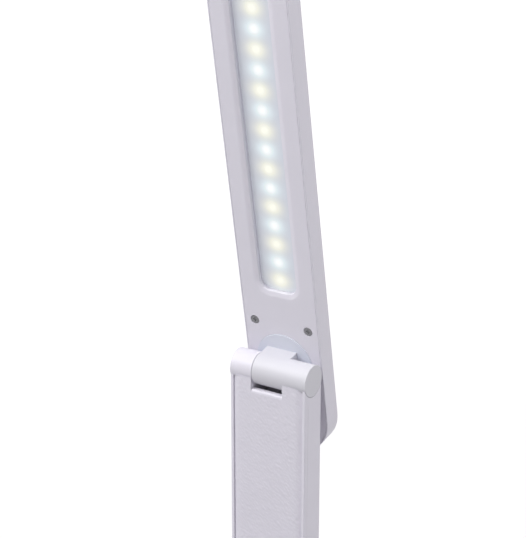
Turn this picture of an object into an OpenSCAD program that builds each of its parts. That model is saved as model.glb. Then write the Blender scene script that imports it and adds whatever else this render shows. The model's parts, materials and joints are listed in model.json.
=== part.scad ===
// Folding LED desk lamp: a weighted base, a hinged upright arm with a padded front,
// and a flat LED head that tilts on a barrel hinge and swivels on a round disc.
// Millimetres. +Z is up, +X is to the viewer's right, the lamp faces -Y.
// The origin is on the desk, at the centre of the base's footprint.

/* [Arm] */
// Width of the arm across its front
arm_w = 42; // [38:0.5:48]
// Depth of the arm from front to back
arm_t = 15.4; // [14.6:0.1:15.4]
// Distance between the arm's lower and upper hinge axes
arm_len = 312; // [300:1:360]
// Thickness of the arm's side and back walls
arm_wall = 1.8; // [1.4:0.1:2.2]
// Depth of the front cover's rim, from the front face to the side seam
cover_d = 2.8; // [2.4:0.1:3.2]
// Radius of the arm's long edges
arm_edge_r = 0.9; // [0.6:0.1:1.6]
// Radius of the front cover's upper corners, seen from the front
ear_r = 3.6; // [2:0.1:5]
// Width of the smooth rim beside the textured pad
rim_w = 1.6; // [1.2:0.1:2.4]
// Thickness of the textured pad
pad_t = 1.35; // [1.0:0.05:1.6]
// How far the pad stands proud of the rim
pad_proud = 0.2; // [0:0.05:0.3]

/* [Barrel hinge] */
// Diameter of the hinge barrels at both ends of the arm
barrel_d = 15.6; // [15.4:0.1:16.4]
// Length of the left drum that belongs to the arm
drum_len = 11.9; // [10.5:0.1:13]
// Left edge of the tongue that joins barrel and disc
tongue_left = 8.8; // [8:0.1:9.4]
// Right edge of the tongue
tongue_right = 7.6; // [6.5:0.1:9]
// Height of the tongue
tongue_h = 15.4; // [14:0.1:15.4]
// Diameter of the hinge shafts
shaft_d = 6; // [5:0.1:6.6]
// Depth of the notch below the barrel's axis
notch_drop = 8.5; // [8.5:0.1:9.6]
// Depth of the ledge at the notch's floor
ledge_d = 3; // [2.9:0.1:3.6]
// Radius of the ledge's rounded front edge
ledge_r = 1.2; // [0.8:0.1:1.6]

/* [Head] */
// Width of the head
head_w = 42; // [40:0.5:46]
// Thickness of the head
head_t = 10.1; // [9.8:0.1:12]
// Distance from the barrel's axis to the lit face
face_off = 8.8; // [8.7:0.1:10]
// Length of the head above the barrel's axis
head_up = 291; // [286:1:298]
// Length of the head below the barrel's axis
head_tail = 51; // [46:1:56]
// Forward tilt of the head at rest, in degrees
head_tilt = 10.4; // [6:0.1:20]
// Thickness of the front frame's plate
frame_t = 1.2; // [1.0:0.1:1.6]
// Thickness of the back shell's walls
shell_wall = 1.6; // [1.2:0.1:2.0]
// Thickness of the back shell's rim around the front frame
rim_t = 0.75; // [0.5:0.05:0.9]

/* [Light strip] */
// Number of lamps in the row
led_count = 24; // [16:2:24]
// Distance between neighbouring lamps
led_pitch = 9.72; // [9:0.02:9.8]
// Height of the lowest lamp above the barrel's axis
led_first = 44.1; // [43:0.1:46]
// Length of the strip opening beyond the last lamp
led_margin = 5.35; // [4.5:0.05:6]
// Width of the strip opening at its inner wall
strip_w = 20.3; // [17:0.1:21]
// Width of the bevel around the opening
bevel_w = 2.35; // [2:0.05:3.4]
// Depth of the bevel around the opening
bevel_d = 0.75; // [0.5:0.05:1.6]
// Depth of the diffuser below the lit face
diffuser_depth = 3.2; // [2.8:0.1:3.4]
// Thickness of the diffuser
diffuser_t = 1.2; // [0.8:0.1:1.4]
// Inner corner radius of the strip opening
strip_r = 5.4; // [3:0.1:7]

/* [Swivel] */
// Diameter of the swivel disc
disc_d = 31.2; // [28:0.1:32]
// How far the disc stands proud of the lit face
disc_proud = 0.4; // [0.2:0.05:0.5]
// Distance of each head screw from the head's centre line
head_screw_x = 14.8; // [13:0.1:15.5]
// Height of the head screws above the barrel's axis
head_screw_z = 20.8; // [20:0.1:24]
// Diameter of the head screws' heads
head_screw_d = 4.3; // [3.6:0.1:4.6]

/* [Base] */
// Width of the base
base_w = 140; // [130:1:170]
// Depth of the base from front to back
base_l = 176; // [166:1:210]
// Height of the base's top above the desk
base_h = 22; // [20:0.5:28]
// Corner radius of the base, seen from above
base_r = 24; // [18:1:28]
// Radius of the base's upper edge
base_edge_r = 4; // [2:0.5:5]
// Thickness of the base cover's walls
base_wall = 2.4; // [2:0.1:3]
// Thickness of the bottom plate
plate_t = 2; // [1.8:0.1:2.6]
// Distance of the lower hinge axis behind the base's centre
hinge_y = 56; // [48:1:62]
// Height of the lower hinge axis above the base's top
hinge_rise = 20; // [19.5:0.5:24]
// Thickness of the steel weight
weight_t = 7; // [5:0.5:8]
// Diameter of the rubber feet
foot_d = 14; // [10:0.5:18]
// How far the rubber feet stand below the bottom plate
foot_h = 1.5; // [1:0.1:2.5]
// Width of the touch panel
panel_w = 92; // [70:1:96]
// Depth of the touch panel from front to back
panel_l = 22; // [16:1:26]

/* [Hidden] */

// Fits
seat_gap = 0.05;       // pieces that are fixed to each other
running_gap = 0.06;    // a shaft that turns in its bore
turn_gap = 0.3;        // pieces that move past each other
close_gap = 0.2;       // barrel in its saddle, disc in its pocket
side_gap = 0.4;        // the tongue in its notch
pad_gap = 0.1;         // the pad in its pocket
rim_gap = 0.12;        // the front frame in the back shell's rim
cut = 1;               // how far a cutting solid runs past a face
round_fn = 96;
hull_fn = 40;

// Barrels and shafts
barrel_r = barrel_d / 2;
saddle_r = barrel_r + close_gap;
shaft_r = shaft_d / 2;
shaft_bore_r = shaft_r + running_gap;
drum_in = arm_w / 2 - drum_len;             // inner end of the drum, left of centre
cap_t = 1.4;
cap_r = barrel_r - 0.9;
recess_r = barrel_r - 1.5;
nut_t = 2.4;
nut_r = 5.4;
washer_t = 0.7;
washer_r = 5.3;
washer_count = 2;
nut_x = arm_w / 2 - cap_t - seat_gap - 0.5;  // outer face of each hinge nut
stack_x = nut_x - nut_t - washer_count * (washer_t + seat_gap);  // inner end of the washers
bush_wall = 1.4;
bush_x = stack_x - seat_gap;
shaft_end = arm_w / 2 - 5;                   // blind end of the upper shaft

// Heights and levels
base_under = foot_h;
cover_z = base_under + plate_t;
low_z = base_h + hinge_rise;
top_z = low_z + arm_len;

// Arm
front_y = -arm_t / 2;
rim_y = front_y + pad_proud;
seam_y = front_y + pad_proud + cover_d;
pad_back_y = front_y + pad_t;
inner_w = arm_w - 2 * arm_wall;
inner_back_y = arm_t / 2 - arm_wall;
foot_block_h = 10;                           // solid lower end of the arm above its axis
foot_w = 24;                                 // width of the arm's lower barrel
crown_h = 13;                                // solid upper end of the arm below its axis
notch_l = tongue_left + side_gap;
notch_r = tongue_right + side_gap;
spine_w = 22;
spine_t = 1.5;
spine_y = inner_back_y - spine_t - seat_gap;
spine_margin = 24;
spine_screw_r = 1.2;
spine_screw_bite = 0.9;                      // how far the screws reach into the back wall
spine_screw_inset = 12;
wire_r = 1.4;
arm_boss_r = 2.9;
arm_boss_x = arm_w / 2 - arm_wall - arm_boss_r - 0.4;
arm_screw_r = 1.2;
arm_screw_head_r = 2.2;
arm_screw_z = [low_z + 40, low_z + arm_len / 2, top_z - 40];

// Head, drawn upright about the barrel's axis and tilted at the end
face_y = face_off;
frame_back_y = face_y + frame_t;
back_y = face_y + head_t;
floor_y = back_y - shell_wall;
led_last = led_first + (led_count - 1) * led_pitch;
strip_z0 = led_first - led_margin;
strip_z1 = led_last + led_margin;
strip_mid = (strip_z0 + strip_z1) / 2;
strip_len = strip_z1 - strip_z0;
bevel_over = 0.4;                            // how far the bevel's funnel runs past its edges
bevel_grow = bevel_over * bevel_w / bevel_d;
bevel_y0 = face_y - bevel_over;
bevel_y1 = face_y + bevel_d + bevel_over;
diffuser_y = face_y + diffuser_depth;
surround_wall = 2.2;
board_w = 17;
board_t = 1;
board_y = floor_y - 0.7 - board_t;
led_w = 3.5;
led_h = 2.8;
led_t = 0.75;
rail_x = 6;
lip_t = 1.2;
head_boss_r = 3.1;
head_shank_r = 1.2;
head_seat_y = face_y + 1.4;

// Swivel
disc_r = disc_d / 2;
disc_y = face_y - disc_proud;
disc_t = 2.6;
ledge_y = disc_y + disc_t + 0.1;
ledge_t = 1.5;
hub_r = 10.6;
hub_bore_r = hub_r + 0.1;
hub_end_y = ledge_y + ledge_t + 0.1;
retainer_t = 1.3;
retainer_r = 14;
swivel_screw_x = 5.6;
swivel_shank_r = 1;
swivel_head_h = 1;
swivel_screw_reach = 4.4;
pocket_r = disc_r + close_gap;
pocket_wall = 1.7;
wire_hole_r = 2.2;
head_wire_r = 0.9;

// Base
post_x = base_w / 2 - 15;
post_y = base_l / 2 - 15;
foot_x = post_x - 16;
foot_y = post_y - 2;
post_r = 4;
post_bore_r = 1.5;
base_screw_head_r = 3;
base_screw_len = 9;
cover_under = base_h - base_wall;
pedestal_w = arm_w;
pedestal_l = 19;
pedestal_h = 9;
pedestal_r = 4;
block_screw_x = pedestal_w / 2 - 8;
block_screw_r = 1.5;
block_screw_head_h = 1.8;
block_screw_bite = 6;                        // how far the screws reach into the hinge block
lug_in = foot_w / 2 + turn_gap;
lug_half = barrel_r - 0.1;
weight_w = base_w - 44;
weight_y0 = -base_l / 2 + 9;
weight_y1 = hinge_y - 26;
panel_y = -base_l / 2 + 12 + panel_l / 2;
panel_t = 1;
panel_r = 5;
board_len = 34;
board_wid = 70;
board_pcb_t = 1.6;
board_gap = 2.2;
board_top = cover_under - board_gap;
board_post_r = 2.6;
inlet_w = 9;
inlet_h = 10.4;
inlet_l = 14;
inlet_z = cover_z + 1.2 + inlet_h / 2;
inlet_bore_r = 3.1;
inlet_pin_r = 1;
inlet_x = 26;
base_wire_z = cover_z + weight_t + 0.1 + wire_r;

// Shapes used by several pieces

module rounded_rect(w, l, r) {
    square([w - 2 * r, l], center = true);
    square([w, l - 2 * r], center = true);
    for (sx = [-1, 1]) {
        for (sy = [-1, 1]) {
            translate([sx * (w / 2 - r), sy * (l / 2 - r)]) circle(r = r, $fn = round_fn);
        }
    }
}

// A bar with half-round ends, from z0 to z1
module stadium(w, z0, z1) {
    translate([-w / 2, z0 + w / 2]) square([w, z1 - z0 - w]);
    for (z = [z0 + w / 2, z1 - w / 2]) {
        translate([0, z]) circle(r = w / 2, $fn = round_fn);
    }
}

module x_cylinder(r, x0, x1, fn = round_fn) {
    translate([x0, 0, 0]) rotate([0, 90, 0]) cylinder(r = r, h = x1 - x0, $fn = fn);
}

module y_cylinder(r, y0, y1, fn = round_fn) {
    translate([0, y1, 0]) rotate([90, 0, 0]) cylinder(r = r, h = y1 - y0, $fn = fn);
}

// Draws a shape of the X-Z plane as a slab from y0 to y1
module y_slab(y0, y1) {
    translate([0, y1, 0]) rotate([90, 0, 0]) linear_extrude(y1 - y0) children();
}

module block(x0, x1, y0, y1, z0, z1) {
    translate([x0, y0, z0]) cube([x1 - x0, y1 - y0, z1 - z0]);
}

// Places a shape drawn about the lower hinge axis
module at_lower_hinge() {
    translate([0, hinge_y, low_z]) children();
}

// Places a shape drawn about the upper hinge axis, upright
module at_upper_hinge() {
    translate([0, hinge_y, top_z]) children();
}

// Places a shape drawn about the upper hinge axis, tilted with the head
module at_head() {
    translate([0, hinge_y, top_z]) rotate([head_tilt, 0, 0]) children();
}

// A cross-recessed screw along Y: head from y0 to y0 + head_h, shank up to y1
module pan_screw(head_r, head_h, shank_r, y0, y1) {
    difference() {
        y_cylinder(head_r, y0, y0 + head_h, 48);
        for (a = [0, 90]) {
            translate([0, y0, 0]) rotate([0, a, 0])
                cube([head_r * 1.1, head_h * 0.9, head_r * 0.3], center = true);
        }
    }
    y_cylinder(shank_r, y0 + head_h - 0.01, y1, 32);
}

// Arm

// Rounded cross-section of the arm between two heights
module arm_section(z0, z1) {
    translate([0, 0, z0]) linear_extrude(z1 - z0) rounded_rect(arm_w, arm_t, arm_edge_r);
}

// The notch below the barrel, through which the tongue swings, grown by d on every side
module notch(d) {
    block(-notch_l - d, notch_r + d, -arm_t, arm_t, -notch_drop - d, barrel_d);
}

// The ledge at the notch's floor, with a rounded front
module notch_ledge() {
    translate([-notch_l, rim_y, -notch_drop - ledge_r])
        rotate([90, 0, 90]) linear_extrude(notch_l + notch_r) intersection() {
            square([ledge_d, ledge_r]);
            translate([ledge_r, 0]) {
                circle(r = ledge_r, $fn = round_fn);
                square([ledge_d, ledge_r]);
            }
        }
}

// Front outline of the cover: straight below, rounded at its upper corners
module cover_outline(w, z0, z1, r) {
    translate([-w / 2, z0]) square([w, z1 - z0 - r]);
    translate([-w / 2 + r, z0]) square([w - 2 * r, z1 - z0]);
    for (s = [-1, 1]) {
        translate([s * (w / 2 - r), z1 - r]) circle(r = r, $fn = round_fn);
    }
}

module arm_screw_places() {
    for (z = arm_screw_z) {
        for (s = [-1, 1]) {
            translate([s * arm_boss_x, hinge_y, z]) children();
        }
    }
}

module arm_rear_shell() {
    color("white") difference() {
        union() {
            difference() {
                translate([0, hinge_y, 0]) arm_section(low_z, top_z);
                // the front cover's place
                block(-arm_w, arm_w, hinge_y - arm_t, hinge_y + seam_y + seat_gap,
                    low_z + foot_block_h, top_z + cut);
                // hollow middle
                block(-inner_w / 2, inner_w / 2, hinge_y - arm_t, hinge_y + inner_back_y,
                    low_z + foot_block_h, top_z - crown_h);
                // way up into the notch
                block(-notch_l, notch_r, hinge_y - arm_t, hinge_y + inner_back_y,
                    top_z - crown_h - cut, top_z);
                // saddle, notch and rounded ear
                at_upper_hinge() {
                    x_cylinder(saddle_r, -drum_in, arm_w);
                    notch(0);
                    block(notch_r, arm_w, -arm_t, arm_t, -1.5, barrel_d);
                    difference() {
                        block(arm_w / 2 - ear_r, arm_w, -arm_t, arm_t, -ear_r - 2, barrel_d);
                        translate([arm_w / 2 - ear_r, 0, -ear_r - 2])
                            y_cylinder(ear_r, -arm_t, arm_t);
                    }
                }
                // the lugs' places beside the lower barrel
                at_lower_hinge() {
                    for (s = [-1, 1]) {
                        translate([s * (foot_w / 2 + arm_w / 2), 0, 0]) {
                            x_cylinder(saddle_r, -arm_w / 2, arm_w / 2);
                            block(-arm_w / 2, arm_w / 2, -arm_t, 0, -saddle_r, saddle_r);
                        }
                    }
                    block(-arm_w, arm_w, -arm_t, arm_t, -arm_t, -0.5);
                }
            }
            at_upper_hinge() x_cylinder(barrel_r, -arm_w / 2, -drum_in);
            at_lower_hinge() x_cylinder(barrel_r, -foot_w / 2, foot_w / 2);
        }
        at_lower_hinge() x_cylinder(shaft_r + seat_gap, -foot_w, foot_w);
        at_upper_hinge() {
            x_cylinder(shaft_r + bush_wall + seat_gap, -arm_w / 2 - cut, 0);
            x_cylinder(recess_r, -arm_w / 2 - cut, -bush_x);
            x_cylinder(cap_r + seat_gap, -arm_w / 2 - cut, -arm_w / 2 + cap_t);
        }
        arm_screw_places() {
            y_cylinder(arm_screw_r + 0.3, 0, arm_t);
            y_cylinder(arm_screw_head_r + 0.2, arm_t / 2 - 1.1, arm_t);
        }
        spine_screw_places() y_cylinder(spine_screw_r + seat_gap, 0, inner_back_y + spine_screw_bite + 0.1);
    }
}

module arm_front_cover() {
    cover_z0 = low_z + foot_block_h + seat_gap;
    color("whitesmoke") {
        difference() {
            union() {
                intersection() {
                    translate([0, hinge_y, 0]) arm_section(cover_z0, top_z);
                    block(-arm_w, arm_w, hinge_y + rim_y, hinge_y + seam_y, cover_z0, top_z);
                    y_slab(hinge_y - arm_t, hinge_y + arm_t)
                        cover_outline(arm_w, cover_z0 - cut, top_z, ear_r + rim_w);
                }
                // locating ribs
                for (s = [-1, 1]) {
                    translate([s * (inner_w / 2 - 0.75), hinge_y + seam_y + 0.6, (cover_z0 + top_z) / 2])
                        cube([1.2, 1.6, arm_len - crown_h * 3], center = true);
                }
                arm_screw_places() y_cylinder(arm_boss_r, seam_y - 0.1, inner_back_y - seat_gap);
            }
            // pocket for the pad
            y_slab(hinge_y - arm_t, hinge_y + pad_back_y + seat_gap)
                cover_outline(arm_w - 2 * rim_w, cover_z0 + rim_w, top_z + cut, ear_r);
            at_upper_hinge() {
                x_cylinder(saddle_r, -arm_w, arm_w);
                notch(0);
                block(-arm_w, arm_w, -arm_t, arm_t, -1.5, barrel_d);
            }
            arm_screw_places() y_cylinder(arm_screw_r + seat_gap, -2, arm_t);
        }
        at_upper_hinge() notch_ledge();
    }
}

module arm_pad() {
    pad_w = arm_w - 2 * rim_w - 2 * pad_gap;
    color("gainsboro") difference() {
        y_slab(hinge_y + front_y, hinge_y + pad_back_y)
            cover_outline(pad_w, low_z + foot_block_h + seat_gap + rim_w + pad_gap, top_z - 1.5, ear_r);
        at_upper_hinge() {
            x_cylinder(saddle_r, -arm_w, arm_w);
            translate([0, 0, -ledge_r]) notch(pad_gap);
        }
    }
}

module arm_spine() {
    color("lightslategray") difference() {
        block(-spine_w / 2, spine_w / 2, hinge_y + spine_y, hinge_y + spine_y + spine_t,
            low_z + spine_margin, top_z - spine_margin);
        spine_screw_places() y_cylinder(spine_screw_r + 0.2, -arm_t, arm_t);
    }
}

module spine_screw_places() {
    for (z = [low_z + spine_margin + spine_screw_inset, top_z - spine_margin - spine_screw_inset]) {
        translate([0, hinge_y, z]) children();
    }
}

module arm_spine_screws() {
    color("silver") spine_screw_places()
        pan_screw(2.4, 1.3, spine_screw_r, spine_y - 1.35, inner_back_y + spine_screw_bite);
}

module arm_screws() {
    color("silver") arm_screw_places() mirror([0, 1, 0])
        pan_screw(arm_screw_head_r, 1, arm_screw_r, -arm_t / 2 + 0.1, 1.5);
}

module arm_wire() {
    color("dimgray")
        translate([spine_w / 4, hinge_y + spine_y - wire_r - 0.1, low_z + foot_block_h + 0.2])
            cylinder(r = wire_r, h = arm_len - foot_block_h - crown_h, $fn = 32);
}

// Lower hinge

module hinge_nut(x0) {
    difference() {
        x_cylinder(nut_r, x0, x0 + nut_t, 6);
        x_cylinder(shaft_r + seat_gap, x0 - cut, x0 + nut_t + cut);
    }
}

module hinge_washers(x0) {
    for (i = [0 : washer_count - 1]) {
        translate([i * (washer_t + seat_gap), 0, 0]) difference() {
            x_cylinder(washer_r, x0, x0 + washer_t);
            x_cylinder(shaft_r + seat_gap, x0 - cut, x0 + washer_t + cut);
        }
    }
}

module lower_hinge_shaft() {
    color("silver") at_lower_hinge() {
        x_cylinder(shaft_r, -nut_x - 0.3, nut_x - nut_t + 0.1);
        x_cylinder(nut_r, nut_x - nut_t, nut_x);
    }
}

module lower_hinge_washers() {
    color("darkgray") at_lower_hinge() hinge_washers(-nut_x + nut_t + seat_gap);
}

module lower_hinge_nut() {
    color("gray") at_lower_hinge() hinge_nut(-nut_x);
}

module lower_hinge_caps() {
    color("white") at_lower_hinge() {
        for (s = [-1, 1]) {
            translate([s * (arm_w / 2 - cap_t / 2), 0, 0]) x_cylinder(cap_r, -cap_t / 2, cap_t / 2);
        }
    }
}

// Upper hinge

module upper_hinge_bush() {
    color("tan") at_upper_hinge() difference() {
        x_cylinder(shaft_r + bush_wall, -bush_x + seat_gap, -drum_in);
        x_cylinder(shaft_bore_r, -arm_w, 0);
    }
}

module upper_hinge_cap() {
    color("white") at_upper_hinge() x_cylinder(cap_r, -arm_w / 2, -arm_w / 2 + cap_t);
}

module upper_hinge_shaft() {
    color("silver") at_upper_hinge() x_cylinder(shaft_r, -nut_x - 0.3, shaft_end);
}

module upper_hinge_washers() {
    color("darkgray") at_head() hinge_washers(-nut_x + nut_t + seat_gap);
}

module upper_hinge_nut() {
    color("gray") at_head() hinge_nut(-nut_x);
}

module head_knuckle() {
    color("white") at_head() difference() {
        union() {
            x_cylinder(barrel_r, -drum_in + turn_gap, arm_w / 2);
            block(-tongue_left, tongue_right, 0, disc_y - seat_gap, -tongue_h / 2, tongue_h / 2);
        }
        x_cylinder(shaft_r + seat_gap, -arm_w, shaft_end + 0.2);
        swivel_screw_places() y_cylinder(swivel_shank_r + seat_gap, swivel_screw_reach, disc_y + cut);
    }
}

// Swivel

module swivel_screw_places() {
    for (s = [-1, 1]) {
        translate([s * swivel_screw_x, 0, 0]) children();
    }
}

module swivel_disc() {
    color("lavender") at_head() difference() {
        union() {
            y_cylinder(disc_r, disc_y, disc_y + disc_t);
            y_cylinder(hub_r, disc_y + disc_t - 0.1, hub_end_y);
        }
        y_cylinder(wire_hole_r, disc_y + 0.6, hub_end_y + cut);
        swivel_screw_places() y_cylinder(swivel_shank_r + 0.2, disc_y - cut, hub_end_y + cut);
    }
}

module swivel_retainer() {
    color("gray") at_head() difference() {
        y_cylinder(retainer_r, hub_end_y + seat_gap, hub_end_y + retainer_t);
        y_cylinder(wire_hole_r, hub_end_y - cut, hub_end_y + retainer_t + cut);
        swivel_screw_places() y_cylinder(swivel_shank_r + 0.2, hub_end_y - cut, hub_end_y + retainer_t + cut);
    }
}

module swivel_screws() {
    color("silver") at_head() swivel_screw_places() mirror([0, 1, 0])
        pan_screw(2, swivel_head_h, swivel_shank_r, -hub_end_y - retainer_t - seat_gap - swivel_head_h,
            -swivel_screw_reach - 0.1);
}

// Head

// Outline of the head, drawn in by d on every side
module head_outline(d) {
    stadium(head_w - 2 * d, -head_tail + d, head_up - d);
}

// Outline of the strip opening, grown by d on every side
module strip_outline(d) {
    translate([0, strip_mid]) rounded_rect(strip_w + 2 * d, strip_len + 2 * d, strip_r + d);
}

// Section of the bevel's funnel across an opening of the given half-width
module bevel_profile(half) {
    polygon([[-half - bevel_w - bevel_grow, bevel_y0], [half + bevel_w + bevel_grow, bevel_y0],
        [half - bevel_grow, bevel_y1], [-half + bevel_grow, bevel_y1]]);
}

// Funnel that bevels the strip opening, running past the face and past the bevel's lower edge
module strip_bevel() {
    for (sx = [-1, 1]) {
        for (sz = [-1, 1]) {
            translate([sx * (strip_w / 2 - strip_r), bevel_y1, strip_mid + sz * (strip_len / 2 - strip_r)])
                rotate([90, 0, 0]) cylinder(r1 = strip_r - bevel_grow,
                    r2 = strip_r + bevel_w + bevel_grow, h = bevel_y1 - bevel_y0, $fn = round_fn);
        }
    }
    translate([0, 0, strip_z0 + strip_r])
        linear_extrude(strip_len - 2 * strip_r) bevel_profile(strip_w / 2);
    translate([strip_w / 2 - strip_r, 0, strip_mid]) rotate([0, -90, 0])
        linear_extrude(strip_w - 2 * strip_r) bevel_profile(strip_len / 2);
}

module head_screw_places() {
    for (s = [-1, 1]) {
        translate([s * head_screw_x, 0, head_screw_z]) children();
    }
}

module head_front_frame() {
    color("ghostwhite") at_head() difference() {
        union() {
            y_slab(face_y, frame_back_y) head_outline(rim_t + rim_gap);
            // locating lip inside the back shell
            y_slab(frame_back_y - 0.1, frame_back_y + 2) difference() {
                head_outline(shell_wall + 0.1);
                head_outline(shell_wall + lip_t);
            }
            y_slab(frame_back_y - 0.1, diffuser_y) strip_outline(surround_wall);
            y_cylinder(pocket_r + pocket_wall, frame_back_y - 0.1, ledge_y + ledge_t);
            head_screw_places() y_cylinder(head_boss_r, frame_back_y - 0.1, frame_back_y + 2);
        }
        y_slab(face_y - cut, diffuser_y + cut) strip_outline(0);
        strip_bevel();
        y_cylinder(pocket_r, face_y - cut, ledge_y);
        y_cylinder(hub_bore_r, face_y - cut, back_y);
        head_screw_places() {
            y_cylinder(head_screw_d / 2 + 0.2, face_y - cut, head_seat_y);
            y_cylinder(head_shank_r + 0.3, face_y, back_y);
        }
    }
}

module head_back_shell() {
    shell_y = frame_back_y + seat_gap;
    color("ghostwhite") at_head() difference() {
        union() {
            difference() {
                y_slab(face_y, back_y) head_outline(0);
                // the front frame's seat
                y_slab(face_y - cut, shell_y) head_outline(rim_t);
                y_slab(shell_y - cut, floor_y) head_outline(shell_wall);
            }
            head_screw_places() y_cylinder(head_boss_r, frame_back_y + 2 + seat_gap, floor_y + 0.1);
            for (s = [-1, 1]) {
                block(s * rail_x - 0.8, s * rail_x + 0.8, board_y + board_t + seat_gap, floor_y + 0.1,
                    strip_z0, strip_z1);
            }
        }
        head_screw_places() y_cylinder(head_shank_r + seat_gap, shell_y - cut, floor_y);
    }
}

module diffuser() {
    color("lightyellow") at_head()
        y_slab(diffuser_y + seat_gap, diffuser_y + seat_gap + diffuser_t)
            strip_outline(surround_wall - 0.6);
}

module led_board() {
    color("lightgray") at_head()
        block(-board_w / 2, board_w / 2, board_y, board_y + board_t, strip_z0 + 0.5, strip_z1 - 0.5);
}

// Every second lamp, starting with the first or the second
module led_row(start) {
    at_head() {
        for (i = [start : 2 : led_count - 1]) {
            block(-led_w / 2, led_w / 2, board_y - seat_gap - led_t, board_y - seat_gap,
                led_first + i * led_pitch - led_h / 2, led_first + i * led_pitch + led_h / 2);
        }
    }
}

module leds_warm() {
    color("moccasin") led_row(0);
}

module leds_cool() {
    color("azure") led_row(1);
}

module head_screws() {
    color("dimgray") at_head() head_screw_places()
        pan_screw(head_screw_d / 2, 1.1, head_shank_r, head_seat_y - 1.15, floor_y - 1);
}

module head_wire() {
    wire_y = floor_y - head_wire_r - 0.1;
    color("dimgray") at_head() {
        translate([0, wire_y, 0]) cylinder(r = head_wire_r, h = strip_z0, $fn = 32);
        y_cylinder(head_wire_r, disc_y + 1, wire_y, 32);
        translate([0, wire_y, 0]) sphere(r = head_wire_r, $fn = 32);
    }
}

// Base

module base_post_places() {
    for (sx = [-1, 1]) {
        for (sy = [-1, 1]) {
            translate([sx * post_x, sy * post_y, 0]) children();
        }
    }
}

// Quarter-round upper corner of the base, for its rounded edge
module base_corner() {
    rotate_extrude($fn = hull_fn) {
        square([base_r, base_h - base_edge_r - cover_z]);
        square([base_r - base_edge_r, base_h - cover_z]);
        translate([base_r - base_edge_r, base_h - base_edge_r - cover_z])
            circle(r = base_edge_r, $fn = hull_fn);
    }
}

module base_body() {
    hull() {
        for (sx = [-1, 1]) {
            for (sy = [-1, 1]) {
                translate([sx * (base_w / 2 - base_r), sy * (base_l / 2 - base_r), cover_z])
                    base_corner();
            }
        }
    }
}

module board_post_places() {
    for (sx = [-1, 1]) {
        for (sy = [-1, 1]) {
            translate([sx * (board_wid / 2 - 5), panel_y + sy * (board_len / 2 - 5), 0]) children();
        }
    }
}

module base_top_cover() {
    color("whitesmoke") difference() {
        union() {
            difference() {
                base_body();
                translate([0, 0, cover_z - cut]) linear_extrude(cover_under - cover_z + cut)
                    rounded_rect(base_w - 2 * base_wall, base_l - 2 * base_wall, base_r - base_wall);
            }
            base_post_places() translate([0, 0, cover_z + seat_gap])
                cylinder(r = post_r, h = cover_under - cover_z, $fn = round_fn);
            board_post_places() translate([0, 0, board_top + seat_gap])
                cylinder(r = board_post_r, h = board_gap, $fn = 48);
        }
        // holes for the hinge block's screws
        block_screw_places() translate([0, 0, cover_under - cut])
            cylinder(r = block_screw_r + 0.3, h = base_h, $fn = 32);
        // pocket for the touch panel
        translate([0, panel_y, base_h - panel_t - seat_gap]) linear_extrude(panel_t + cut)
            rounded_rect(panel_w + 0.3, panel_l + 0.3, panel_r);
        base_post_places() translate([0, 0, cover_z])
            cylinder(r = post_bore_r, h = base_screw_len, $fn = 32);
        board_post_places() translate([0, 0, board_top]) cylinder(r = 1.05, h = board_gap + 1, $fn = 32);
        // mouth of the power inlet
        translate([inlet_x, 0, inlet_z]) y_cylinder(inlet_bore_r + 0.6, base_l / 2 - 2 * base_wall, base_l);
    }
}

// Block on the base that carries the lower hinge between two lugs
module hinge_block() {
    lug_w = arm_w / 2 - lug_in;
    color("white") difference() {
        union() {
            translate([0, hinge_y, base_h + seat_gap]) linear_extrude(pedestal_h - seat_gap)
                rounded_rect(pedestal_w, pedestal_l, pedestal_r);
            for (s = [-1, 1]) {
                translate([s * (lug_in + lug_w / 2), hinge_y, 0]) {
                    block(-lug_w / 2, lug_w / 2, -lug_half, lug_half, base_h + pedestal_h - 0.5, low_z);
                    translate([0, 0, low_z]) x_cylinder(barrel_r, -lug_w / 2, lug_w / 2);
                }
            }
        }
        // shaft bores, nut recesses and cap seats
        at_lower_hinge() {
            x_cylinder(shaft_bore_r, -arm_w, arm_w);
            x_cylinder(recess_r, -arm_w, -stack_x);
            x_cylinder(recess_r, nut_x - nut_t - seat_gap, arm_w);
            for (s = [-1, 1]) {
                translate([s * (arm_w / 2 + cap_t), 0, 0]) x_cylinder(cap_r + seat_gap, -2 * cap_t, 2 * cap_t);
            }
        }
        block_screw_places() cylinder(r = block_screw_r + seat_gap, h = base_h + block_screw_bite + 0.2, $fn = 32);
    }
}

module block_screw_places() {
    for (s = [-1, 1]) {
        translate([s * block_screw_x, hinge_y, 0]) children();
    }
}

// Screws from inside the base cover up into the hinge block
module block_screws() {
    color("silver") block_screw_places() {
        translate([0, 0, cover_under - seat_gap - block_screw_head_h])
            cylinder(r = 1.9 * block_screw_r, h = block_screw_head_h, $fn = 48);
        translate([0, 0, cover_under - seat_gap - 0.1])
            cylinder(r = block_screw_r, h = base_wall + block_screw_bite, $fn = 32);
    }
}

module base_bottom_plate() {
    color("gainsboro") difference() {
        translate([0, 0, base_under]) linear_extrude(plate_t)
            rounded_rect(base_w - 0.6, base_l - 0.6, base_r - 0.3);
        foot_places() translate([0, 0, base_under - cut])
            cylinder(r = foot_d / 2 + 0.15, h = cut + 0.8, $fn = round_fn);
        base_post_places() {
            cylinder(r = post_bore_r + 0.3, h = base_h, $fn = 32);
            cylinder(r = base_screw_head_r + 0.2, h = base_under + 1.1, $fn = 48);
        }
    }
}

module foot_places() {
    for (sx = [-1, 1]) {
        for (sy = [-1, 1]) {
            translate([sx * foot_x, sy * foot_y, 0]) children();
        }
    }
}

module base_feet() {
    color("dimgray") foot_places() cylinder(r = foot_d / 2, h = foot_h + 0.8 - seat_gap, $fn = round_fn);
}

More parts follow.
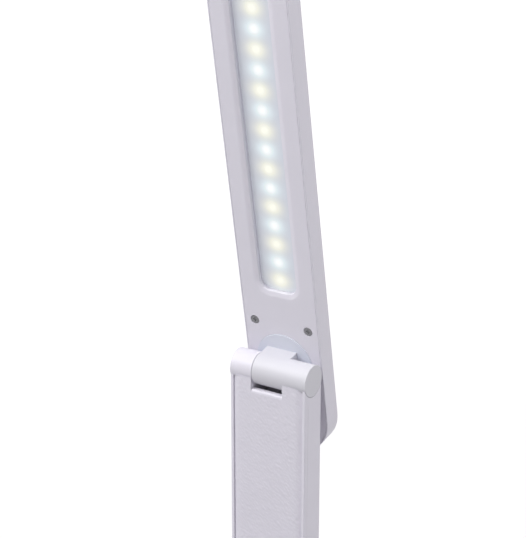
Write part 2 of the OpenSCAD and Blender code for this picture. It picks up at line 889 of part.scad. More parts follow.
module base_screws() {
    color("silver") base_post_places() {
        translate([0, 0, base_under + 0.1]) cylinder(r = base_screw_head_r, h = 1, $fn = 48);
        translate([0, 0, base_under + 1])
            cylinder(r = post_bore_r - seat_gap, h = base_screw_len, $fn = 32);
    }
}

module base_weight() {
    color("slategray") block(-weight_w / 2, weight_w / 2, weight_y0, weight_y1,
        cover_z + seat_gap, cover_z + weight_t);
}

module touch_panel() {
    color("gainsboro") translate([0, panel_y, base_h - panel_t]) linear_extrude(panel_t)
        rounded_rect(panel_w, panel_l, panel_r - 0.15);
}

module control_board() {
    color("seagreen") difference() {
        union() {
            block(-board_wid / 2, board_wid / 2, panel_y - board_len / 2, panel_y + board_len / 2,
                board_top - board_pcb_t, board_top);
            // driver coil and capacitor
            block(8, 18, panel_y - 5, panel_y + 5, board_top - board_pcb_t - 3.4, board_top - 0.5);
            block(-22, -12, panel_y - 4, panel_y + 4, board_top - board_pcb_t - 2.6, board_top - 0.5);
        }
        board_post_places() cylinder(r = 1.3, h = base_h, $fn = 32);
    }
}

module board_screws() {
    color("silver") board_post_places() {
        translate([0, 0, board_top - board_pcb_t - 1.05]) cylinder(r = 2, h = 1, $fn = 48);
        translate([0, 0, board_top - board_pcb_t - 0.1]) cylinder(r = 1, h = 3.4, $fn = 32);
    }
}

module power_inlet() {
    y1 = base_l / 2 - base_wall - 0.1;
    color("black") translate([inlet_x, 0, inlet_z]) {
        difference() {
            union() {
                block(-inlet_w / 2, inlet_w / 2, y1 - inlet_l, y1, -inlet_h / 2 - 1.1, inlet_h / 2 - 1);
                y_cylinder(inlet_bore_r + 0.5, y1 - 0.1, base_l / 2 - 0.3, 48);
            }
            y_cylinder(inlet_bore_r, y1 - inlet_l + 3, base_l, 48);
        }
        y_cylinder(inlet_pin_r, y1 - inlet_l + 2.9, base_l / 2 - 2, 32);
    }
}

module base_wire() {
    y0 = panel_y + 6;
    y1 = base_l / 2 - base_wall - inlet_l - 0.2;
    color("dimgray") translate([inlet_x, 0, base_wire_z]) {
        y_cylinder(wire_r, y0, y1, 32);
        translate([0, y0, 0]) sphere(r = wire_r, $fn = 32);
        translate([0, y0, 0]) cylinder(r = wire_r, h = board_top - board_pcb_t - base_wire_z - 0.1, $fn = 32);
    }
}

base_top_cover();
base_bottom_plate();
base_weight();
base_feet();
base_screws();
touch_panel();
control_board();
board_screws();
power_inlet();
base_wire();
hinge_block();
block_screws();
lower_hinge_caps();
arm_rear_shell();
arm_front_cover();
arm_pad();
arm_spine();
arm_spine_screws();
arm_screws();
arm_wire();
lower_hinge_shaft();
lower_hinge_washers();
lower_hinge_nut();
upper_hinge_bush();
upper_hinge_cap();
head_knuckle();
upper_hinge_shaft();
upper_hinge_washers();
upper_hinge_nut();
swivel_disc();
swivel_retainer();
swivel_screws();
head_front_frame();
head_back_shell();
diffuser();
led_board();
leds_warm();
leds_cool();
head_screws();
head_wire();
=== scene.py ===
"""Folding LED desk lamp: its looks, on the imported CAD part.

Metres, +Z up, the lamp faces -Y, the origin on the desk under the base's centre.
Shapes drawn in millimetres are scaled by MM. Head shapes are drawn upright about the
barrel hinge's axis and tilted by HEAD.
"""

import json
import math

import bmesh
import bpy
import numpy as np
from mathutils import Matrix, Vector, noise
from mathutils.geometry import delaunay_2d_cdt


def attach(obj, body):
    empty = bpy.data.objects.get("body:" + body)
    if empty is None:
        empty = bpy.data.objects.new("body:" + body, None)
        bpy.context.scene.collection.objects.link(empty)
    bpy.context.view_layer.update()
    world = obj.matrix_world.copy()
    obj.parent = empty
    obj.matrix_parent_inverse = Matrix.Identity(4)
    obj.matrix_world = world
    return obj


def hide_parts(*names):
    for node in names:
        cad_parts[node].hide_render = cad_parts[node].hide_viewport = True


MM = 0.001

# Hinge places and the head's tilt, as in the CAD source
HINGE_Y = 56.0
TOP_Z = 354.0
TILT = math.radians(10.4)
HEAD = Matrix.Translation((0, HINGE_Y * MM, TOP_Z * MM)) @ Matrix.Rotation(TILT, 4, "X")

# Arm pad
PAD_HALF_W = 19.33
PAD_BOTTOM = 53.75
PAD_TOP = 351.6
PAD_FRONT_Y = -7.7
PAD_BACK_Y = -6.4
PAD_EAR_R = 3.6
PAD_ROLL = 4.2          # width of the gentle roll along each side
PAD_ROLL_DROP = 0.95    # how far the pad's sides lie behind its front
PAD_EDGE = 0.9          # width of the small roll along every edge
PAD_EDGE_DROP = 0.06
SADDLE_R = 8.0          # the barrel's place above the pad
SADDLE_GAP = 0.05
NOTCH_L = 9.3
NOTCH_R = 8.1
NOTCH_FLOOR = 344.2
PAD_STEP = 0.5
PAD_ROWS = (0.15, 0.4, 0.7)   # rows of points across the small roll
GRAIN_DEPTH = 0.1
GRAIN_SIZE = 1.6
GRAIN_SEED = 7          # noise_vector starts from the clock unless it is seeded
GRAIN_WARP = 0.35       # how far the pebbles are pushed about, in pebbles
GRAIN_CREASE = 0.45     # width of the creases between them
GRAIN_CROWN = 1.6       # height of the pebbles' round tops
GRAIN_DRIFT = 0.4       # slow rise and fall from pebble to pebble

# Light strip
LED_FIRST = 44.1
LED_PITCH = 9.72
STRIP_W = 20.3
STRIP_Z0 = 38.75
STRIP_Z1 = 273.01
STRIP_R = 5.4
BEVEL_W = 2.35
BEVEL_D = 0.75
SURROUND = 2.2
DIFFUSER_RIM = 1.6      # how far the diffuser reaches behind the frame
DIFFUSER_Y = 12.05
DIFFUSER_T = 1.2
DIFFUSER_GAP = 0.02     # between the frame and the diffuser behind it

# Head's bar: front frame and back shell
HEAD_W = 42.0
HEAD_Z0 = -51.0
HEAD_Z1 = 291.0
FACE_Y = 8.8
PLATE_Y = 10.0
LIP_Y = 12.0            # end of the lip and bosses behind the frame's plate
SHELL_Y0 = 10.05
SHELL_Y1 = 18.9
SHELL_WALL = 1.6
SHELL_EDGE_R = 0.5      # how far the rounded edges reach, at the back and around the rim
RIM_EDGE_R = 0.35
RIM_T = 0.75            # the back shell's rim around the front frame
PLATE_IN = 0.87         # from the head's outline to the front frame's edge
SEAM_EDGE_R = 0.12
FACE_EDGE = 0.6         # how far the rounded edges of the strip's bevel reach
LIP_OUT = 1.7
LIP_IN = 2.8
SCREW_X = 14.8
SCREW_Z = 20.8
SCREW_HOLE_R = 2.35
SCREW_SEAT_Y = 10.2
SHANK_HOLE_R = 1.5
HOLE_EASE = 0.4         # flat kept around a hole before its rounded edge
BOSS_R = 3.1
POCKET_R = 15.7
LEDGE_Y = 11.1
LEDGE_END_Y = 12.6
HUB_HOLE_R = 10.7
POCKET_OUT_R = 17.5

# Glow of the strip: emitted colours, and spot sizes in lamp pitches
DIFFUSER_TINT = (0.49, 0.52, 0.58)
DIFFUSER_GLOW = (0.20, 0.20, 0.21)
WARM_CORE = (0.08, 0.09, 0.10)
WARM_HALO = (0.38, 0.35, 0.14)
COOL_CORE = (0.20, 0.08, 0.06)
COOL_HALO = (0.26, 0.36, 0.32)
CORE_WIDE = 0.22
CORE_TALL = 0.22
HALO_WIDE = 0.54
HALO_TALL = 0.44

# Light
LAMPS = (("key", (-0.8, -0.8, 1.25), 9.2),      # name, place and power
         ("top", (0.0, -0.2, 1.4), 7.0),
         ("side", (1.1, 0.3, 1.1), 4.0))
LAMP_SIZE = 0.9
LAMP_AIM = (0.0, 0.03, 0.35)
WORLD_LEVEL = 0.4
WORLD_TINT = (0.97, 0.95, 1.0)
FLOOR_HALF = 4000.0
FLOOR_SHADE = 0.57
FLOOR_CLOUD = 0.01          # how far the floor's shade wanders
FLOOR_LIFT_NEAR = 0.52      # what the eye sees beyond the floor's own light, near the lamp
FLOOR_LIFT_FAR = 0.85
FLOOR_NEAR = 0.35
FLOOR_FAR = 1.6

# Meshes: points closer than WELD are one, and CDT_MERGE does the same in flat fillings
WELD = 2e-6
CDT_MERGE = 1e-4
FLAT_ANGLE = math.radians(0.5)      # faces that turn less are one flat
EDGE_ANGLE = math.radians(35)       # edges that turn more are rounded

# Edge radii of CAD nodes: the usual one, and the others
EDGE_WIDTH = 0.2
EDGE_WIDTHS = {"head_knuckle": 0.8, "swivel_disc": 0.9, "upper_hinge_cap": 0.5,
               "lower_hinge_caps": 0.5, "arm_front_cover": 0.3, "arm_rear_shell": 0.3,
               "hinge_block": 0.5}

# Camera, fitted to the photograph
CAMERA_AT = (0.388177, -0.573053, 0.681327)
CAMERA_AZIMUTH = math.radians(32.147)
CAMERA_ELEVATION = math.radians(20.399)
CAMERA_LENS = 112.816
CAMERA_SENSOR = 36


# Materials

def node_material(name):
    """A material with a principled shader on its output."""
    material = bpy.data.materials.new(name)
    material.use_nodes = True
    tree = material.node_tree
    tree.nodes.clear()
    output = tree.nodes.new("ShaderNodeOutputMaterial")
    shader = tree.nodes.new("ShaderNodeBsdfPrincipled")
    tree.links.new(shader.outputs[0], output.inputs[0])
    return material, tree, shader, output


def add(tree, kind, inputs=None, **settings):
    """A node with its settings; inputs maps a socket to a value or to another node's output."""
    node = tree.nodes.new("ShaderNode" + kind)
    for key, value in settings.items():
        setattr(node, key, value)
    for socket, value in (inputs or {}).items():
        if isinstance(value, bpy.types.NodeSocket):
            tree.links.new(value, node.inputs[socket])
        else:
            node.inputs[socket].default_value = value
    return node


def math_node(tree, operation, a, b=0.0):
    return add(tree, "Math", {0: a, 1: b}, operation=operation).outputs[0]


def seen_rays(tree):
    """1 for the rays that show a surface as such: camera, mirror and glass rays."""
    path = add(tree, "LightPath")
    return math_node(tree, "MAXIMUM", path.outputs["Is Camera Ray"],
                     math_node(tree, "MAXIMUM", path.outputs["Is Glossy Ray"],
                               path.outputs["Is Transmission Ray"]))


def finish_material(name, color, rough, spread=0.03, metallic=0.0, bump=0.0, bump_scale=900.0):
    """A finish whose colour and roughness wander a little, with a fine surface grain."""
    material, tree, shader, _ = node_material(name)
    place = add(tree, "TexCoord").outputs["Object"]
    cloud = add(tree, "TexNoise", {"Vector": place, "Scale": 60.0, "Detail": 3.0}).outputs["Fac"]
    low = [c * (1 - spread) for c in color] + [1]
    high = [min(1, c * (1 + spread)) for c in color] + [1]
    # a colour mix has its two colours in sockets 6 and 7
    tint = add(tree, "Mix", {"Factor": cloud, 6: low, 7: high}, data_type="RGBA")
    tree.links.new(tint.outputs[2], shader.inputs["Base Color"])
    shine = add(tree, "MapRange", {"Value": cloud, 3: rough * 0.9, 4: min(1, rough * 1.12)})
    tree.links.new(shine.outputs[0], shader.inputs["Roughness"])
    shader.inputs["Metallic"].default_value = metallic
    if bump:
        grain = add(tree, "TexNoise", {"Vector": place, "Scale": bump_scale, "Detail": 2.0})
        relief = add(tree, "Bump", {"Height": grain.outputs["Fac"], "Strength": bump,
                                    "Distance": 0.0002})
        tree.links.new(relief.outputs[0], shader.inputs["Normal"])
    return material


def lit_diffuser():
    """Frosted strip with a soft spot over each lamp: warm over even ones, cool over odd ones."""
    material, tree, shader, _ = node_material("lit_diffuser")
    place = add(tree, "TexCoord").outputs["Object"]
    axes = add(tree, "SeparateXYZ", {0: place})
    step = math_node(tree, "DIVIDE",
                     math_node(tree, "SUBTRACT", axes.outputs["Z"], LED_FIRST * MM), LED_PITCH * MM)
    to_warm = math_node(tree, "PINGPONG", step, 1.0)
    to_cool = math_node(tree, "SUBTRACT", 1.0, to_warm)
    across = math_node(tree, "DIVIDE", axes.outputs["X"], LED_PITCH * MM)

    def spot(along, wide, tall):
        """A round-topped bump of height 1 over each lamp, with the given half-sizes in pitches."""
        u = math_node(tree, "POWER", math_node(tree, "DIVIDE", across, wide), 2.0)
        v = math_node(tree, "POWER", math_node(tree, "DIVIDE", along, tall), 2.0)
        return math_node(tree, "EXPONENT",
                         math_node(tree, "MULTIPLY", math_node(tree, "ADD", u, v), -1.0))

    glow = None
    for along, core, halo in ((to_warm, WARM_CORE, WARM_HALO), (to_cool, COOL_CORE, COOL_HALO)):
        for colour, wide, tall in ((core, CORE_WIDE, CORE_TALL), (halo, HALO_WIDE, HALO_TALL)):
            part = add(tree, "VectorMath", {0: colour, "Scale": spot(along, wide, tall)},
                       operation="SCALE").outputs[0]
            glow = part if glow is None else add(tree, "VectorMath", {0: glow, 1: part},
                                                 operation="ADD").outputs[0]
    cloud = add(tree, "TexNoise", {"Vector": place, "Scale": 300.0}).outputs["Fac"]
    base = add(tree, "MapRange", {"Value": cloud, 3: 0.96, 4: 1.04}).outputs[0]
    tint = add(tree, "VectorMath", {0: DIFFUSER_TINT, "Scale": base}, operation="SCALE")
    tree.links.new(tint.outputs[0], shader.inputs["Base Color"])
    steady = add(tree, "VectorMath", {0: glow, 1: DIFFUSER_GLOW}, operation="ADD")
    tree.links.new(steady.outputs[0], shader.inputs["Emission Color"])
    shader.inputs["Emission Strength"].default_value = 1.0
    shader.inputs["Roughness"].default_value = 0.45
    return material


def lamp_material(name, colour):
    """The lamps behind the diffuser: a pale body that glows."""
    material, tree, shader, _ = node_material(name)
    place = add(tree, "TexCoord").outputs["Object"]
    cloud = add(tree, "TexNoise", {"Vector": place, "Scale": 900.0}).outputs["Fac"]
    level = add(tree, "MapRange", {"Value": cloud, 3: 0.85, 4: 1.0}).outputs[0]
    tint = add(tree, "VectorMath", {0: colour, "Scale": level}, operation="SCALE").outputs[0]
    tree.links.new(tint, shader.inputs["Base Color"])
    tree.links.new(tint, shader.inputs["Emission Color"])
    shader.inputs["Emission Strength"].default_value = 1.0
    return material


def floor_material():
    """White desk: plain to other rays, lifted to white for the eye, with the lamp's shadow kept."""
    material, tree, shader, output = node_material("floor")
    place = add(tree, "TexCoord").outputs["Object"]
    cloud = add(tree, "TexNoise", {"Vector": place, "Scale": 4.0}).outputs["Fac"]
    level = add(tree, "MapRange", {"Value": cloud, 3: FLOOR_SHADE - FLOOR_CLOUD,
                                   4: FLOOR_SHADE + FLOOR_CLOUD}).outputs[0]
    tree.links.new(level, shader.inputs["Base Color"])
    shader.inputs["Roughness"].default_value = 0.9
    shader.inputs["Specular IOR Level"].default_value = 0.0
    away = add(tree, "VectorMath", {0: place}, operation="LENGTH").outputs["Value"]
    lift = add(tree, "MapRange", {"Value": away, 1: FLOOR_NEAR, 2: FLOOR_FAR, 3: FLOOR_LIFT_NEAR,
                                  4: FLOOR_LIFT_FAR}, interpolation_type="SMOOTHSTEP").outputs[0]
    shader.inputs["Emission Color"].default_value = (1, 1, 1, 1)
    tree.links.new(math_node(tree, "MULTIPLY", seen_rays(tree), lift),
                   shader.inputs["Emission Strength"])
    return material


# Meshes

def mesh_object(name, verts, faces, matrix=None, smooth=True):
    """A mesh from points in millimetres, placed by matrix."""
    mesh = bpy.data.meshes.new(name)
    mesh.from_pydata([Vector(v) * MM for v in verts], [], faces)
    mesh.validate()
    if smooth:
        mesh.shade_smooth()
    obj = bpy.data.objects.new(name, mesh)
    bpy.context.scene.collection.objects.link(obj)
    obj.matrix_world = matrix or Matrix.Identity(4)
    return obj


def arc(cx, cz, r, a0, a1, steps):
    """Points of an arc from angle a0 to a1, in degrees."""
    return [(cx + r * math.cos(math.radians(a0 + (a1 - a0) * i / steps)),
             cz + r * math.sin(math.radians(a0 + (a1 - a0) * i / steps))) for i in range(steps + 1)]


def circle(cx, cz, r, steps=64):
    return arc(cx, cz, r, 0, 360, steps)[:-1]


def rounded_rect(half_w, z0, z1, r, steps=10):
    """Outline of a rectangle about x = 0, from z0 to z1, with corners of radius r."""
    return (arc(half_w - r, z0 + r, r, -90, 0, steps) + arc(half_w - r, z1 - r, r, 0, 90, steps)
            + arc(-half_w + r, z1 - r, r, 90, 180, steps)
            + arc(-half_w + r, z0 + r, r, 180, 270, steps))


def ring_stack(rings, cap_first=True, cap_last=True):
    """Points and faces of a skin through rings of equal length, each a list of 3-D points."""
    count = len(rings[0])
    verts = [p for ring in rings for p in ring]
    faces = []
    for k in range(len(rings) - 1):
        for i in range(count):
            j = (i + 1) % count
            a, b = k * count, (k + 1) * count
            faces.append((a + i, a + j, b + j, b + i))
    if cap_first:
        faces.append(tuple(reversed(range(count))))
    if cap_last:
        faces.append(tuple(range((len(rings) - 1) * count, len(rings) * count)))
    return verts, faces


def flat_ring(outline, y):
    return [(x, y, z) for x, z in outline]


def eased(points, cuts, steps=4):
    """A line through the points, its inner corners rounded off over the given lengths."""
    line = [Vector(points[0])]
    for before, at, after, cut in zip(map(Vector, points), map(Vector, points[1:]),
                                      map(Vector, points[2:]), cuts):
        if not cut:
            line.append(at)
            continue
        start = at + (before - at).normalized() * cut
        end = at + (after - at).normalized() * cut
        for i in range(steps + 1):
            t = i / steps
            line.append(start * (1 - t) ** 2 + at * 2 * t * (1 - t) + end * t ** 2)
    line.append(Vector(points[-1]))
    return [tuple(p) for p in line]


def face_with_holes(loops, y):
    """Points and triangles of the flat face between an outline and the holes in it."""
    edges = []
    points = []
    for loop in loops:
        edges += [(len(points) + i, len(points) + (i + 1) % len(loop)) for i in range(len(loop))]
        points += loop
    found = delaunay_2d_cdt([Vector(p) for p in points], edges, [], 0, CDT_MERGE)
    flat = np.array([tuple(p) for p in found[0]])
    triangles = np.array(found[2])
    middles = flat[triangles].mean(axis=1)
    keep = inside(middles, np.array(loops[0]))
    for hole in loops[1:]:
        keep &= ~inside(middles, np.array(hole))
    return flat_ring(flat, y), [tuple(int(i) for i in t) for t in triangles[keep]]


def pierced_plate(name, skins, matrix):
    """A plate made of an outer skin and the skins of its holes. Each skin is an outline that
    takes a growth, and the line of (growth, y) points that it follows from front to back."""
    verts, faces = [], []
    for outline, line in skins:
        more, sides = ring_stack([flat_ring(outline(grow), y) for grow, y in line], False, False)
        faces += [tuple(i + len(verts) for i in f) for f in sides]
        verts += more
    for end in (0, -1):
        loops = [outline(line[end][0]) for outline, line in skins]
        more, flats = face_with_holes(loops, skins[0][1][end][1])
        faces += [tuple(i + len(verts) for i in f) for f in flats]
        verts += more
    plate = mesh_object(name, verts, faces, matrix)
    close_up(plate)
    return smooth_flats(plate)


def smooth_flats(obj):
    """Keeps flat faces flat where they meet rounded edges."""
    shading = obj.modifiers.new("shading", "WEIGHTED_NORMAL")
    shading.keep_sharp = True
    return obj


def dress(obj, material):
    """Gives an object its one material."""
    obj.data.materials.clear()
    obj.data.materials.append(material)
    return obj


def soften(node, width, segments=2):
    """Small rounded edges on a CAD node, by modifiers alone."""
    custom = node.data.attributes.get("custom_normal")
    if custom:
        node.data.attributes.remove(custom)
    node.data.shade_smooth()
    weld = node.modifiers.new("weld", "WELD")
    weld.merge_threshold = WELD
    flats = node.modifiers.new("flats", "DECIMATE")
    flats.decimate_type = "DISSOLVE"
    flats.angle_limit = FLAT_ANGLE
    edge = node.modifiers.new("edge", "BEVEL")
    edge.width = width * MM
    edge.segments = segments
    edge.limit_method = "ANGLE"
    edge.angle_limit = EDGE_ANGLE
    edge.use_clamp_overlap = True
    smooth_flats(node)


# Pieces

def stadium(grow, steps=24):
    """Outline of the head's bar, moved outwards by grow."""
    r = HEAD_W / 2 + grow
    return (arc(0, HEAD_Z1 - HEAD_W / 2, r, 0, 180, steps)
            + arc(0, HEAD_Z0 + HEAD_W / 2, r, 180, 360, steps))


def strip_outline(grow):
    """Outline of the strip's opening, moved outwards by grow."""
    return rounded_rect(STRIP_W / 2 + grow, STRIP_Z0 - grow, STRIP_Z1 + grow, STRIP_R + grow)


def front_cover():
    """The head's front frame: bevelled strip opening, screw seats and the disc's pocket."""
    outer = eased([(-2 * PLATE_IN, FACE_Y), (-PLATE_IN, FACE_Y), (-PLATE_IN, PLATE_Y),
                   (-LIP_OUT, PLATE_Y), (-LIP_OUT, LIP_Y), (-LIP_IN, LIP_Y), (-LIP_IN, PLATE_Y)],
                  (SEAM_EDGE_R, 0, 0, 0, 0))
    strip = eased([(BEVEL_W + 2 * FACE_EDGE, FACE_Y), (BEVEL_W, FACE_Y), (0, FACE_Y + BEVEL_D),
                   (0, DIFFUSER_Y - DIFFUSER_GAP), (SURROUND, DIFFUSER_Y - DIFFUSER_GAP),
                   (SURROUND, PLATE_Y)],
                  (FACE_EDGE, FACE_EDGE / 2, 0, 0))
    seat = eased([(SCREW_HOLE_R + HOLE_EASE, FACE_Y), (SCREW_HOLE_R, FACE_Y),
                  (SCREW_HOLE_R, SCREW_SEAT_Y), (SHANK_HOLE_R, SCREW_SEAT_Y),
                  (SHANK_HOLE_R, LIP_Y), (BOSS_R, LIP_Y), (BOSS_R, PLATE_Y)],
                 (0.2, 0, 0, 0, 0))
    pocket = eased([(POCKET_R + HOLE_EASE, FACE_Y), (POCKET_R, FACE_Y), (POCKET_R, LEDGE_Y),
                    (HUB_HOLE_R, LEDGE_Y), (HUB_HOLE_R, LEDGE_END_Y), (POCKET_OUT_R, LEDGE_END_Y),
                    (POCKET_OUT_R, PLATE_Y)], (0.1, 0, 0, 0, 0))
    skins = [(stadium, outer), (strip_outline, strip),
             (lambda r: circle(0, 0, r, 128), pocket),
             (lambda r: circle(-SCREW_X, SCREW_Z, r), seat),
             (lambda r: circle(SCREW_X, SCREW_Z, r), seat)]
    return pierced_plate("head_front_cover", skins, HEAD)


def back_cover():
    """The head's hollow back shell: a thin rim around the front frame and rounded edges."""
    line = eased([(-SHELL_WALL, SHELL_Y1 - SHELL_WALL), (-SHELL_WALL, SHELL_Y0), (-RIM_T, SHELL_Y0),
                  (-RIM_T, FACE_Y), (0, FACE_Y), (0, SHELL_Y1), (-SHELL_WALL, SHELL_Y1)],
                 (0, 0, SEAM_EDGE_R, RIM_EDGE_R, SHELL_EDGE_R))
    verts, faces = ring_stack([flat_ring(stadium(grow), y) for grow, y in line])
    return smooth_flats(mesh_object("head_back_cover", verts, faces, HEAD))


def diffuser():
    """The frosted strip behind the opening."""
    ring = strip_outline(DIFFUSER_RIM)
    verts, faces = ring_stack([flat_ring(ring, DIFFUSER_Y),
                               flat_ring(ring, DIFFUSER_Y + DIFFUSER_T)])
    return mesh_object("light_diffuser", verts, faces, HEAD, smooth=False)


def pad_outline():
    """The pad's outline with its two ears and the notch, in steps of about PAD_STEP."""
    top, ear = PAD_TOP - PAD_EAR_R, PAD_HALF_W - PAD_EAR_R
    corners = ([(-PAD_HALF_W, PAD_BOTTOM), (PAD_HALF_W, PAD_BOTTOM)]
               + arc(ear, top, PAD_EAR_R, 0, 90, 8)
               + [(NOTCH_R, PAD_TOP), (NOTCH_R, NOTCH_FLOOR), (-NOTCH_L, NOTCH_FLOOR),
                  (-NOTCH_L, PAD_TOP)]
               + arc(-ear, top, PAD_EAR_R, 90, 180, 8))
    points = []
    for k, a in enumerate(corners):
        b = corners[(k + 1) % len(corners)]
        steps = max(1, round(math.dist(a, b) / PAD_STEP))
        points += [(a[0] + (b[0] - a[0]) * i / steps, a[1] + (b[1] - a[1]) * i / steps)
                   for i in range(steps)]
    return np.array(points)


def edge_distance(points, outline):
    """Distance of each point from a closed outline."""
    a, b = outline, np.roll(outline, -1, axis=0)
    along = b - a
    best = np.full(len(points), np.inf)
    for p, d in zip(a, along):
        t = np.clip(((points - p) @ d) / (d @ d), 0, 1)
        best = np.minimum(best, np.linalg.norm(points - p - t[:, None] * d, axis=1))
    return best


def inside(points, outline):
    """Whether each point lies inside a closed outline."""
    a, b = outline, np.roll(outline, -1, axis=0)
    found = np.zeros(len(points), bool)
    for (x0, z0), (x1, z1) in zip(a, b):
        if z0 == z1:
            continue
        crosses = (points[:, 1] < z0) != (points[:, 1] < z1)
        at = x0 + (points[:, 1] - z0) / (z1 - z0) * (x1 - x0)
        found ^= crosses & (points[:, 0] < at)
    return found


def pebble(x, z):
    """Height of a leather-like grain, from -1 in its creases to 1 on its pebbles."""
    place = Vector((x, 0, z)) / GRAIN_SIZE
    place += noise.noise_vector(place * 0.7) * GRAIN_WARP
    near = noise.voronoi(place)[0]
    crease = min(1, (near[1] - near[0]) / GRAIN_CREASE)
    return GRAIN_CROWN * crease * (2 - crease) - 1 + GRAIN_DRIFT * noise.noise(place * 0.9)


def saddle_y(z):
    """How far back the pad may reach below the barrel."""
    return -np.sqrt(np.clip(SADDLE_R ** 2 - (z - TOP_Z) ** 2, 0, None))


def pad_points(flat, depth):
    """The pad's front over points of its plane, each with its distance from the pad's edge."""
    from_side = PAD_HALF_W - abs(flat[:, 0])
    level = (PAD_FRONT_Y + GRAIN_DEPTH
             + PAD_ROLL_DROP * np.clip(1 - from_side / PAD_ROLL, 0, 1) ** 2
             + PAD_EDGE_DROP * np.clip(1 - depth / PAD_EDGE, 0, 1) ** 2)
    level -= [pebble(x, z) * GRAIN_DEPTH * min(1, d) for (x, z), d in zip(flat, depth)]
    level = np.minimum(level, saddle_y(flat[:, 1]) - SADDLE_GAP)
    return [(x, y, z) for (x, z), y in zip(flat, level)]


def pad_back_points(flat):
    """The pad's back over points of its plane."""
    level = np.minimum(PAD_BACK_Y, saddle_y(flat[:, 1]))
    return [(x, y, z) for (x, z), y in zip(flat, level)]


def fill_outline(outline, points):
    """Points and triangles of the face within an outline, through the given points."""
    flat = [Vector(p) for p in np.concatenate([outline, points])]
    found = delaunay_2d_cdt(flat, [], [list(range(len(outline)))], 1, CDT_MERGE)
    return np.array([tuple(p) for p in found[0]]), [tuple(t) for t in found[2]]


def arm_pad():
    """The padded front: rolled edges and a leather-like grain in the surface itself."""
    noise.seed_set(GRAIN_SEED)
    outline = pad_outline()
    tangent = np.roll(outline, -1, axis=0) - np.roll(outline, 1, axis=0)
    inward = np.stack([-tangent[:, 1], tangent[:, 0]], 1)
    inward /= np.linalg.norm(inward, axis=1)[:, None]
    rows = []
    for share in PAD_ROWS:
        row = outline + inward * PAD_EDGE * share
        rows.append(row[edge_distance(row, outline) > PAD_EDGE * share - 0.02])
    xs = np.arange(-PAD_HALF_W, PAD_HALF_W, PAD_STEP) + PAD_STEP / 2
    zs = np.arange(PAD_BOTTOM, PAD_TOP, PAD_STEP) + PAD_STEP / 2
    grid = np.array([(x, z) for z in zs for x in xs])
    grid = grid[inside(grid, outline)]
    grid = grid[edge_distance(grid, outline) > PAD_EDGE]
    flat, faces = fill_outline(outline, np.concatenate([*rows, grid]))
    verts = pad_points(flat, edge_distance(flat, outline))
    flat, back_faces = fill_outline(outline, grid[grid[:, 1] > TOP_Z - SADDLE_R])
    faces += [tuple(i + len(verts) for i in f) for f in back_faces]
    verts += pad_back_points(flat)
    rings = [pad_points(outline, np.zeros(len(outline))), pad_back_points(outline)]
    sides, side_faces = ring_stack(rings, cap_first=False, cap_last=False)
    faces += [tuple(i + len(verts) for i in f) for f in side_faces]
    pad = mesh_object("arm_pad_cover", verts + sides, faces,
                      Matrix.Translation((0, HINGE_Y * MM, 0)))
    close_up(pad)
    return pad


def close_up(obj):
    """Merges points that coincide and turns all faces outwards."""
    work = bmesh.new()
    work.from_mesh(obj.data)
    bmesh.ops.remove_doubles(work, verts=work.verts, dist=WELD)
    bmesh.ops.recalc_face_normals(work, faces=work.faces)
    work.to_mesh(obj.data)
    work.free()


# The scene

def area_lamp(name, at, to, size, power):
    """A round soft lamp that faces a point."""
    lamp = bpy.data.lights.new(name, "AREA")
    lamp.shape = "DISK"
    lamp.size = size
    lamp.energy = power
    obj = bpy.data.objects.new(name, lamp)
    bpy.context.scene.collection.objects.link(obj)
    obj.location = at
    obj.rotation_mode = "QUATERNION"
    obj.rotation_quaternion = (Vector(to) - Vector(at)).to_track_quat("-Z", "Y")


def white_world():
    """White to the eye, and a soft, faintly tinted light to everything else."""
    world = bpy.data.worlds.new("studio")
    bpy.context.scene.world = world
    world.use_nodes = True
    tree = world.node_tree
    tree.nodes.clear()
    soft = add(tree, "Background", {"Color": (*WORLD_TINT, 1), "Strength": WORLD_LEVEL})
    white = add(tree, "Background", {"Color": (1, 1, 1, 1), "Strength": 1.0})
    mix = add(tree, "MixShader", {0: seen_rays(tree), 1: soft.outputs[0], 2: white.outputs[0]})
    output = tree.nodes.new("ShaderNodeOutputWorld")
    tree.links.new(mix.outputs[0], output.inputs[0])


def fitted_camera():
    """The photograph's camera."""
    camera = bpy.data.objects.new("camera", bpy.data.cameras.new("camera"))
    bpy.context.scene.collection.objects.link(camera)
    camera.data.sensor_width = CAMERA_SENSOR
    camera.data.lens = CAMERA_LENS
    camera.location = CAMERA_AT
    a, e = CAMERA_AZIMUTH, CAMERA_ELEVATION
    forward = Vector((-math.sin(a) * math.cos(e), math.cos(a) * math.cos(e), -math.sin(e)))
    camera.rotation_mode = "QUATERNION"
    camera.rotation_quaternion = forward.to_track_quat("-Z", "Y")
    bpy.context.scene.camera = camera


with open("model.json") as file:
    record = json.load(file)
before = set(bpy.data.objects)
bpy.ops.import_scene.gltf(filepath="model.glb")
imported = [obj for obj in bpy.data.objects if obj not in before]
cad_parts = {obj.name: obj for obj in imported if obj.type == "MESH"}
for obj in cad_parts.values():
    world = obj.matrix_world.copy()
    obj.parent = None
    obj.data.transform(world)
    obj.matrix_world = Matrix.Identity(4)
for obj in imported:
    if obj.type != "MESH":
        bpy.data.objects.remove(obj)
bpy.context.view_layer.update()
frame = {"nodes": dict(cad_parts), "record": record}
nodes = frame["nodes"]

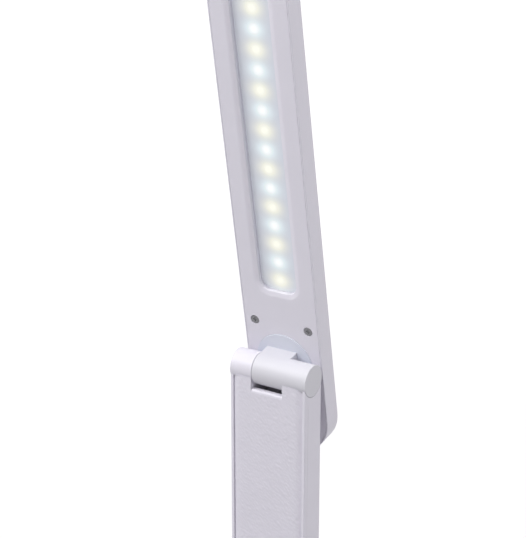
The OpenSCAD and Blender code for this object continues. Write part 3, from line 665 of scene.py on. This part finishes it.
finishes = {
    "white_plastic": finish_material("white_plastic", (0.80, 0.78, 0.85), 0.42, bump=0.05),
    "white_gloss": finish_material("white_gloss", (0.70, 0.695, 0.74), 0.42, spread=0.015),
    "textured_pad": finish_material("textured_pad", (0.77, 0.75, 0.82), 0.55, bump=0.25,
                                    bump_scale=700.0),
    "lit_diffuser": lit_diffuser(),
    "warm_light": lamp_material("warm_light", (1.0, 0.93, 0.72)),
    "cool_light": lamp_material("cool_light", (0.88, 0.97, 1.0)),
    "aluminium": finish_material("aluminium", (0.75, 0.76, 0.78), 0.35, metallic=1.0),
    "steel": finish_material("steel", (0.62, 0.62, 0.64), 0.3, metallic=1.0),
    "dark_steel": finish_material("dark_steel", (0.20, 0.20, 0.21), 0.3, metallic=1.0),
    "cast_weight": finish_material("cast_weight", (0.28, 0.28, 0.30), 0.7, metallic=1.0),
    "brass_bush": finish_material("brass_bush", (0.78, 0.62, 0.32), 0.3, metallic=1.0),
    "foot_rubber": finish_material("foot_rubber", (0.55, 0.55, 0.58), 0.8, bump=0.2),
    "black_plastic": finish_material("black_plastic", (0.05, 0.05, 0.06), 0.5),
    "wire_sheath": finish_material("wire_sheath", (0.08, 0.08, 0.09), 0.6),
    "circuit_board": finish_material("circuit_board", (0.05, 0.28, 0.16), 0.5),
}
for part in frame["record"]["subparts"]:
    dress(nodes[part["node"]], finishes[part["material_slot"]])
disc_plastic = finish_material("disc_plastic", (0.74, 0.765, 0.85), 0.38, spread=0.015)
dress(nodes["swivel_disc"], disc_plastic)
for name in nodes:
    soften(nodes[name], EDGE_WIDTHS.get(name, EDGE_WIDTH))

for piece, node, body, finish in (
        (front_cover(), "head_front_frame", "head", "white_plastic"),
        (back_cover(), "head_back_shell", "head", "white_plastic"),
        (diffuser(), "diffuser", "head", "lit_diffuser"),
        (arm_pad(), "arm_pad", "arm", "textured_pad")):
    dress(piece, finishes[finish])
    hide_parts(node)
    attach(piece, body)

corners = [(-FLOOR_HALF, -FLOOR_HALF, 0), (FLOOR_HALF, -FLOOR_HALF, 0),
           (FLOOR_HALF, FLOOR_HALF, 0), (-FLOOR_HALF, FLOOR_HALF, 0)]
floor = mesh_object("floor", corners, [(0, 1, 2, 3)], smooth=False)
floor.data.materials.append(floor_material())

white_world()
for name, at, power in LAMPS:
    area_lamp(name, at, LAMP_AIM, LAMP_SIZE, power)
fitted_camera()
bpy.context.scene.view_settings.view_transform = "Standard"
